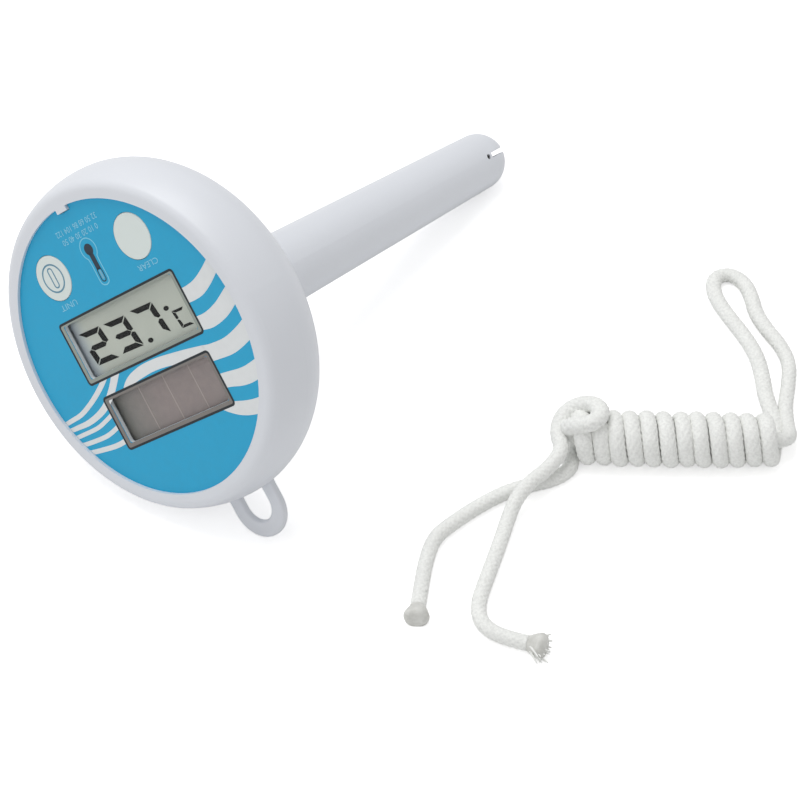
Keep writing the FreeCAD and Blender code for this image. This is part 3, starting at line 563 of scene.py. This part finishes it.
class Drawing:
    """Thin ink slabs on one plane of the face, gathered into one piece."""

    def __init__(self, name, depth, slot, body="root"):
        self.name = name
        self.top = -(depth - INK)
        self.bottom = -(depth - INK_GAP)
        self.slot = slot
        self.body = body
        self.verts = []
        self.faces = []

    def lay(self, places, height):
        """Adds vertices at places on the face and returns their numbers."""
        start = len(self.verts)
        for x, y in places:
            self.verts.append(FACE @ Vector((x * MM, y * MM, height * MM)))
        return list(range(start, start + len(places)))

    def fill(self, outline):
        """Slab inside a closed outline."""
        top = self.lay(outline, self.top)
        bottom = self.lay(outline, self.bottom)
        self.faces.append(top)
        self.faces.append(bottom[::-1])
        for index in range(len(top)):
            after = (index + 1) % len(top)
            self.faces.append((top[after], top[index], bottom[index], bottom[after]))

    def band(self, left, right, closed=False):
        """Slab between two edges of as many points each."""
        rails = [self.lay(left, self.top), self.lay(right, self.top),
                 self.lay(right, self.bottom), self.lay(left, self.bottom)]
        count = len(left)
        for index in range(count if closed else count - 1):
            after = (index + 1) % count
            for near, far in ((0, 1), (1, 2), (2, 3), (3, 0)):
                self.faces.append((rails[near][index], rails[far][index],
                                   rails[far][after], rails[near][after]))
        if not closed:
            self.faces.append([rail[0] for rail in rails][::-1])
            self.faces.append([rail[-1] for rail in rails])

    def stroke(self, line, width, closed=False):
        left, right = stroke_edges(line, np.full(len(line), width), closed)
        self.band(left, right, closed)

    def piece(self, nodes):
        obj = mesh_object(self.name, self.verts, self.faces)
        obj.data.validate()
        obj.data.materials.append(nodes.material)
        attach(obj, self.body)


def waves():
    drawing = Drawing("label_waves", FILM_DEPTH, "face_film")
    for line, first, last in WAVES:
        line = smoothed(line, WAVE_STEPS)
        left, right = stroke_edges(line, np.linspace(first, last, WAVE_STEPS))
        drawing.band(within_label(left), within_label(right))
    for upper, lower in BANDS:
        drawing.band(within_label(smoothed(upper, BAND_STEPS)), within_label(smoothed(lower, BAND_STEPS)))
    drawing.piece(printed("wave_ink", srgb(229, 232, 233), 0.45, 0.03))


def window_frames():
    """Black lines round the two windows, and the narrow printed surround inside each of them."""
    line = Drawing("window_frames", FILM_DEPTH - INK, "face_film")
    outer_corner, inner_corner, opening_corner = FRAME_CORNERS
    for name, (low_x, high_x, low_y, high_y), opening, colour in (
            ("display_surround", DISPLAY_FRAME, DISPLAY, srgb(150, 158, 150)),
            ("cell_surround", SOLAR_FRAME, SOLAR, srgb(126, 121, 117))):
        outer = rounded(low_x, high_x, low_y, high_y, outer_corner)
        inner = rounded(low_x + FRAME_LINE, high_x - FRAME_LINE,
                        low_y + FRAME_LINE, high_y - FRAME_LINE, inner_corner)
        line.band(outer, inner, closed=True)
        surround = Drawing(name, FILM_DEPTH - INK, "face_film")
        surround.band(inner, rounded(*opening, opening_corner), closed=True)
        surround.piece(printed(name + "_ink", colour))
    line.piece(printed("frame_ink", srgb(12, 26, 34), 0.5, 0.1))


def segment(kind, width, height, pen):
    """One bar of a digit in its own upright cell. Upright bars are wider than the level ones are thick."""
    gap = BAR_GAP * pen
    wide = UPRIGHT * pen
    half = height / 2
    if kind == "a":
        return ((gap, height), (width - gap, height), (width - wide - gap, height - pen),
                (wide + gap, height - pen))
    if kind == "d":
        return ((wide + gap, pen), (width - wide - gap, pen), (width - gap, 0), (gap, 0))
    if kind == "g":
        return ((wide / 2 + gap, half), (wide + gap, half + pen / 2), (width - wide - gap, half + pen / 2),
                (width - wide / 2 - gap, half), (width - wide - gap, half - pen / 2),
                (wide + gap, half - pen / 2))
    upper = ((width, height - gap * 2), (width, half + gap + pen * BAR_TOE), (width - wide / 2, half + gap),
             (width - wide, half + pen / 2 + gap), (width - wide, height - pen - gap * 2))
    if kind == "b":
        return upper
    if kind == "c":
        return tuple((x, height - y) for x, y in upper)
    if kind == "f":
        return tuple((width - x, y) for x, y in upper)
    return tuple((width - x, height - y) for x, y in upper)


def digits():
    drawing = Drawing("display_digits", GLASS_DEPTH - 2 * INK, "display_glass")
    for (left, low), width, height, pen, bars in DIGITS:
        for kind in bars:
            outline = [(left + x + LEAN * y, low + y + SLOPE * x)
                       for x, y in segment(kind, width, height, pen)]
            drawing.fill(seen_at(outline, GLASS_DEPTH))
    for centre, half_x, half_y in DOTS:
        drawing.fill(seen_at(oval(centre, half_x, half_y, 24), GLASS_DEPTH))
    ink = printed("digit_ink", srgb(7, 9, 8), 0.6, 0.2)
    ink.set(Specular_IOR_Level=0.1)
    drawing.piece(ink)


def window_faces(materials):
    """Front layers of the display and the cell, just clear of the panes' own backs."""
    for name, slot, (low_x, high_x, low_y, high_y) in (
            ("display_layer", "display_glass", DISPLAY), ("cell_layer", "cell_glass", SOLAR)):
        layer = Drawing(name, GLASS_DEPTH, slot)
        layer.fill(rounded(low_x + LAYER_INSET, high_x - LAYER_INSET,
                           low_y + LAYER_INSET, high_y - LAYER_INSET, LAYER_CORNER))
        layer.piece(materials[slot])


def cell_lines():
    drawing = Drawing("cell_lines", GLASS_DEPTH - 2 * INK, "cell_glass")
    for x in CELL_LINES:
        drawing.stroke([(x, SOLAR[2] + CELL_LINE_INSET), (x, SOLAR[3] - CELL_LINE_INSET)], CELL_LINE_WIDTH)
    drawing.piece(printed("cell_line_ink", srgb(178, 166, 162), 0.5, 0.08))


def thermometer_sign():
    """Plain bulb-and-tube sign, its bulb towards 12 o'clock."""
    light = Drawing("sign_outline", FILM_DEPTH, "face_film")
    bulb = [(SIGN_BULB[0] + SIGN_BULB_R * math.cos(a), SIGN_BULB[1] + SIGN_BULB_R * math.sin(a))
            for a in np.radians(np.linspace(SIGN_BULB_FROM, SIGN_BULB_TO, 44))]
    path = np.vstack([bulb, smoothed(SIGN_LEFT, 30)[1:], smoothed(SIGN_RIGHT, 30)[1:-1]])
    light.stroke(path, SIGN_LINE, closed=True)
    light.piece(printed("sign_light_ink", srgb(122, 204, 232), 0.45))
    dark = Drawing("sign_mercury", FILM_DEPTH, "face_film")
    dark.fill(oval(MERCURY_AT, MERCURY_R, MERCURY_R))
    low_x, high_x, top, foot = MERCURY_STEM
    dark.band([(low_x, top), (low_x, foot)], [(high_x, top), (high_x, foot)])
    dark.stroke(rounded(*TUBE, TUBE_CORNER), TUBE_LINE, closed=True)
    dark.piece(printed("sign_dark_ink", srgb(20, 44, 62), 0.45, 0.1))
    core = Drawing("sign_tube", FILM_DEPTH, "face_film")
    core.stroke(TUBE_CORE, TUBE_CORE_WIDTH)
    core.piece(printed("sign_tube_ink", srgb(120, 176, 200), 0.45))


def button_sign():
    """Ring and bar printed on the left button, which carries them."""
    drawing = Drawing("unit_sign", BUTTON_DEPTH, "button_plastic", "unit_button")
    x, y = LEFT_BUTTON
    radius, ring_line = BUTTON_RING
    drawing.stroke(oval((x, y), radius, radius, 64), ring_line, closed=True)
    left, right, below, above = BUTTON_BAR
    bar = rounded(x - left, x + right, y - below, y + above, BUTTON_BAR_CORNER)
    drawing.stroke(bar, BUTTON_BAR_LINE, closed=True)
    drawing.piece(printed("unit_sign_ink", srgb(92, 142, 166), 0.5))


def legend(name, words, centre, width, ink):
    """Small lettering on the film, turned half round to the digits, as a filled mesh."""
    font = bpy.data.curves.new(name, "FONT")
    font.body = words
    font.resolution_u = 3
    carrier = bpy.data.objects.new(name + "_text", font)
    flat = bpy.data.meshes.new_from_object(carrier)
    places = np.array([vertex.co for vertex in flat.vertices])[:, :2]
    low, top = places.min(axis=0), places.max(axis=0)
    places = (places - (low + top) / 2) / (top - low) * (-width, -LEGEND_HEIGHT) + centre
    verts = [FACE @ Vector((x * MM, y * MM, -(FILM_DEPTH - INK) * MM)) for x, y in places]
    faces = [tuple(face.vertices) for face in flat.polygons]
    obj = mesh_object(name, verts, faces)
    bpy.data.objects.remove(carrier)
    bpy.data.curves.remove(font)
    bpy.data.meshes.remove(flat)
    obj.data.materials.append(ink.material)
    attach(obj, "root")


def legends():
    ink = printed("legend_ink", srgb(138, 206, 232), 0.45)
    for name, words, centre, width in LEGENDS:
        legend(name, words, centre, width, ink)


def along_line(line):
    """Distance of each point from the start, measured along the line."""
    steps = np.linalg.norm(np.diff(line, axis=0), axis=1)
    return np.concatenate([[0.0], np.cumsum(steps)])


def resampled(line, step):
    """Points at even distances along a line."""
    at = along_line(line)
    count = int(round(at[-1] / step)) + 1
    wanted = np.linspace(0.0, at[-1], count)
    return np.stack([np.interp(wanted, at, line[:, axis]) for axis in range(3)], axis=1)


def carried_frames(line):
    """Two directions across a line that turn as little as possible along it."""
    tangents = np.gradient(line, axis=0)
    tangents /= np.linalg.norm(tangents, axis=1)[:, None]
    side = np.cross(tangents[0], (0.0, 0.0, 1.0))
    side /= np.linalg.norm(side)
    sides = [side]
    for index in range(1, len(line)):
        side = sides[-1] - tangents[index] * np.dot(sides[-1], tangents[index])
        sides.append(side / np.linalg.norm(side))
    sides = np.array(sides)
    return sides, np.cross(tangents, sides)


def hank_point(along, near, height):
    """Place in the frame of a point given along the hank, to its near side and up."""
    cos_a, sin_a = math.cos(HANK_ANGLE), math.sin(HANK_ANGLE)
    return (HANK_AT[0] + along * cos_a + near * sin_a, HANK_AT[1] + along * sin_a - near * cos_a, height)


def winding_points():
    """Control points of the winding, from the far end underneath to the near left end."""
    step = 2 * math.pi / POINTS_PER_TURN
    radius = TURN_R / ((1 + math.cos(step)) / 2)
    points = []
    for count in range(TURNS * POINTS_PER_TURN + 1):
        angle = count * step
        turn = count / POINTS_PER_TURN
        near, top, slip = (MM * float(np.interp(turn, range(TURNS + 1), values))
                           for values in (NEAR_REACH, TOP_REACH, SLIP))
        near *= max(0.0, math.sin(angle))
        raised = (1 - math.cos(angle)) / 2
        points.append(hank_point(HANK_HALF - TURN_RISE * angle + slip * raised,
                                 radius * math.sin(angle) + near,
                                 HANK_Z - radius * math.cos(angle) + top * raised))
    return points


def winding_lead(at_start, distance):
    """Point on the straight run that enters or leaves the winding, this far outside it."""
    slope = TURN_R / math.hypot(TURN_R, TURN_RISE)
    rise = TURN_RISE / math.hypot(TURN_R, TURN_RISE)
    height = HANK_Z - TURN_R
    if at_start:
        return hank_point(HANK_HALF + rise * distance, -slope * distance, height)
    return hank_point(-HANK_HALF - rise * distance, slope * distance, height)


def tether_route():
    """Control points from the frayed end to the melted end."""
    route = list(TAIL_ROUTE)
    route += [hank_point(*place) for place in FOLD_ROUTE + CORE_ROUTE]
    route += list(LOOP_ROUTE)
    route += [winding_lead(True, count * CORD_D) for count in LEAD_IN]
    route += winding_points()
    route += [winding_lead(False, count * CORD_D) for count in LEAD_OUT]
    return route + list(END_ROUTE)


def spline_line(route):
    """Points on the smooth line through a route's control points."""
    curve = bpy.data.curves.new("tether_line", "CURVE")
    curve.dimensions = "3D"
    curve.resolution_u = SPLINE_STEPS
    spline = curve.splines.new("NURBS")
    spline.points.add(len(route) - 1)
    for place, entry in zip(route, spline.points):
        entry.co = (*place, 1.0)
    spline.order_u = 3
    spline.use_endpoint_u = True
    carrier = bpy.data.objects.new("tether_line", curve)
    mesh = bpy.data.meshes.new_from_object(carrier)
    line = np.array([vertex.co for vertex in mesh.vertices])
    bpy.data.objects.remove(carrier)
    bpy.data.curves.remove(curve)
    bpy.data.meshes.remove(mesh)
    return line


def braid_height(turn, distance):
    """Relief of the braid, 0 in the gaps and 1 on the crowns, at a share of a turn and a distance."""
    right = YARNS * (turn + distance / LAY)
    left = YARNS * (turn - distance / LAY)
    across = 2 * (right % 1.0) - 1
    along = 2 * (left % 1.0) - 1
    right_on_top = (np.floor(right) + np.floor(left)) % 2 == 0
    wide = np.where(right_on_top, across, along)
    long = np.where(right_on_top, along, across)
    crown = 1 - CROWN_DIP + CROWN_DIP * np.cos(long * math.pi / 2)
    return np.sqrt(np.clip(1 - wide ** 2, 0, 1)) * crown


def in_winding(line):
    """How far each point of the line belongs to the wound part, from 0 outside to 1 inside."""
    along = np.array((math.cos(HANK_ANGLE), math.sin(HANK_ANGLE)))
    near = np.array((math.sin(HANK_ANGLE), -math.cos(HANK_ANGLE)))
    flat = line[:, :2] - np.array(HANK_AT)
    away = np.hypot(flat @ near, line[:, 2] - HANK_Z)
    inside = (np.abs(flat @ along) < HANK_HALF + CORD_R) & (away > WOUND_FROM * TURN_R)
    spread = np.ones(PRESSED_BLEND) / PRESSED_BLEND
    return np.convolve(inside.astype(float), spread, mode="same")


def braided_tube(name, line):
    """Tube with the braid's relief on it, pressed wider between the turns and flat on the ground."""
    line = resampled(line, RING_STEP)
    at = along_line(line)
    sides, ups = carried_frames(line)
    turn = np.arange(RING_SIDES) / RING_SIDES
    distance, share = np.meshgrid(at, turn, indexing="ij")
    radius = CORD_R + RELIEF * (braid_height(share, distance) - RELIEF_MIDDLE)
    away = np.linalg.norm(line - np.array(hank_point(*FOLD_AT)), axis=1)
    radius *= (1 + FOLD_SWELL * np.exp(-(away / FOLD_SPREAD) ** 2))[:, None]
    angle = 2 * math.pi * share
    across = np.cos(angle)[..., None] * sides[:, None, :] + np.sin(angle)[..., None] * ups[:, None, :]
    axis = np.array((math.cos(HANK_ANGLE), math.sin(HANK_ANGLE), 0.0))
    wider = (PRESSED - 1) * in_winding(line)
    across = across + (across @ axis)[..., None] * axis * wider[:, None, None]
    verts = line[:, None, :] + across * radius[..., None]
    verts = verts.reshape(-1, 3)
    verts[:, 2] = np.maximum(verts[:, 2], 0.0)
    rings = len(line)
    ring = np.arange(rings - 1)[:, None] * RING_SIDES
    side = np.arange(RING_SIDES)[None, :]
    after = (side + 1) % RING_SIDES
    quads = np.stack([ring + side, ring + after,
                      ring + RING_SIDES + after, ring + RING_SIDES + side], axis=-1)
    faces = quads.reshape(-1, 4).tolist()
    faces.append(list(range(RING_SIDES))[::-1])
    faces.append(list(range((rings - 1) * RING_SIDES, rings * RING_SIDES)))
    return mesh_object(name, verts, faces, smooth=True), line


def braid_material():
    """White braided yarn with a speckle from its fibres."""
    colour = srgb(247, 248, 245)
    nodes = Nodes("tether_braid")
    place = nodes.place()
    cloud = nodes.noise(place, 160.0, 3.0)
    speck = nodes.noise(place, 1500.0, 3.0)
    soft = nodes.ramp(cloud, (0.3, scaled(colour, 0.94)), (0.7, colour))
    dotted = nodes.ramp(speck, (0.35, scaled(colour, 0.86)), (0.6, scaled(colour, 1.05)))
    nodes.wire("Base Color", nodes.tinted(nodes.remap(cloud, 0.3, 0.7, 0.4, 0.7), soft, dotted))
    fibre = nodes.noise(place, 6000.0, 2.0)
    nodes.wire("Normal", nodes.bump(fibre, 0.00005))
    nodes.wire("Roughness", nodes.remap(cloud, 0.3, 0.7, 0.55, 0.7))
    nodes.set(Sheen_Weight=0.12, Sheen_Roughness=0.4)
    return nodes


def frayed_fibres(nodes):
    """Loose yarn ends that stand out of the frayed end like a worn brush."""
    end = Vector(TAIL_ROUTE[0])
    out = (end - Vector(TAIL_ROUTE[1])).normalized()
    side = Vector((-out.y, out.x, 0.0))
    random = np.random.default_rng(FIBRE_SEED)
    verts, faces = [], []
    for count in range(FIBRES):
        turn = random.uniform(0, 2 * math.pi)
        reach = FIBRE_SPREAD * math.sqrt(random.uniform(0.05, 1))
        across, lift = reach * math.cos(turn), reach * math.sin(turn)
        root = end + out * (FIBRE_ROOT * MM) + side * (across * MM) + Vector((0, 0, lift * MM))
        ahead, flare, shift = FIBRE_TIPS[count % len(FIBRE_TIPS)]
        tip = out * ahead + side * (across * flare + shift)
        tip = root + (tip * random.uniform(0.75, 1.0) + Vector((0, 0, lift * 0.5))) * MM
        tip.z = max(tip.z, FIBRE_LOWEST * MM)
        along = (tip - root).normalized()
        first = along.cross(Vector((0, 0, 1))).normalized()
        second = along.cross(first)
        start = len(verts)
        for share, thick in FIBRE_RINGS:
            middle = root.lerp(tip, share)
            for corner in range(FIBRE_SIDES):
                angle = 2 * math.pi * corner / FIBRE_SIDES
                verts.append(middle + (first * math.cos(angle) + second * math.sin(angle)) * (thick * MM))
        verts.append(tip)
        last = start + (len(FIBRE_RINGS) - 1) * FIBRE_SIDES
        for ring in range(start, last, FIBRE_SIDES):
            for corner in range(FIBRE_SIDES):
                after = (corner + 1) % FIBRE_SIDES
                faces.append((ring + corner, ring + after,
                              ring + FIBRE_SIDES + after, ring + FIBRE_SIDES + corner))
        faces += [(last + corner, last + (corner + 1) % FIBRE_SIDES, last + FIBRE_SIDES)
                  for corner in range(FIBRE_SIDES)]
        faces.append(tuple(start + corner for corner in reversed(range(FIBRE_SIDES))))
    for vert in verts:
        vert.z = max(vert.z, 0.0)
    obj = mesh_object("frayed_fibres", verts, faces, smooth=True)
    obj.data.materials.append(nodes.material)
    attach(obj, "root")
    return obj


def tether(nodes):
    line = spline_line(tether_route())
    cord, line = braided_tube("tether_cord", line)
    cord.data.materials.append(nodes.material)
    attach(cord, "root")
    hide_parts("tether_strand", "tether_winding", "tether_tail")
    frayed_fibres(nodes)


def camera():
    data = bpy.data.cameras.new("camera")
    data.lens = CAMERA_LENS
    data.sensor_width = CAMERA_SENSOR
    obj = link(bpy.data.objects.new("camera", data))
    azimuth = math.radians(CAMERA_AZIMUTH)
    elevation = math.radians(CAMERA_ELEVATION)
    ahead = Vector((math.cos(elevation) * math.sin(azimuth), math.cos(elevation) * math.cos(azimuth),
                    -math.sin(elevation)))
    roll = Quaternion((0, 0, 1), math.radians(CAMERA_ROLL))
    obj.rotation_mode = "QUATERNION"
    obj.rotation_quaternion = ahead.to_track_quat("-Z", "Y") @ roll
    obj.location = CAMERA_AT
    bpy.context.scene.camera = obj


def area_light(name, at, target, size, power):
    data = bpy.data.lights.new(name, "AREA")
    data.shape = "DISK"
    data.size = size
    data.energy = power
    obj = link(bpy.data.objects.new(name, data))
    obj.location = at
    obj.rotation_mode = "QUATERNION"
    obj.rotation_quaternion = (Vector(target) - Vector(at)).to_track_quat("-Z", "Y")


def studio():
    """Soft lamps, and a world that is white to the camera and dimmer on the object."""
    world = bpy.data.worlds.new("studio")
    bpy.context.scene.world = world
    world.use_nodes = True
    tree = world.node_tree
    background = tree.nodes["Background"]
    background.inputs["Color"].default_value = (1.0, 1.0, 1.0, 1.0)
    path = tree.nodes.new("ShaderNodeLightPath")
    strength = tree.nodes.new("ShaderNodeMapRange")
    strength.inputs["To Min"].default_value = WORLD_LIGHT
    strength.inputs["To Max"].default_value = 1.0
    tree.links.new(path.outputs["Is Camera Ray"], strength.inputs["Value"])
    tree.links.new(strength.outputs["Result"], background.inputs["Strength"])
    for light in LIGHTS:
        area_light(*light)


def floor():
    """Pale floor that looks white to the camera and keeps a soft shadow."""
    low, high = -FLOOR_HALF, FLOOR_HALF
    obj = mesh_object("floor", [(low, low, 0), (high, low, 0), (high, high, 0), (low, high, 0)],
                      [(0, 1, 2, 3)])
    nodes = Nodes("floor")
    nodes.set(Base_Color=FLOOR_COLOUR, Roughness=0.9, Emission_Color=(1.0, 1.0, 1.0))
    path = nodes.add("ShaderNodeLightPath")
    nodes.wire("Emission Strength", nodes.remap(path.outputs["Is Camera Ray"], 0.0, 1.0, 0.0, FLOOR_GLOW))
    obj.data.materials.append(nodes.material)


bpy.context.scene.view_settings.view_transform = "Standard"
camera()
studio()
floor()
MATERIALS = slot_materials()
paint_nodes(MATERIALS)
tether(MATERIALS["tether_braid"])
waves()
window_frames()
window_faces(MATERIALS)
digits()
cell_lines()
thermometer_sign()
button_sign()
legends()
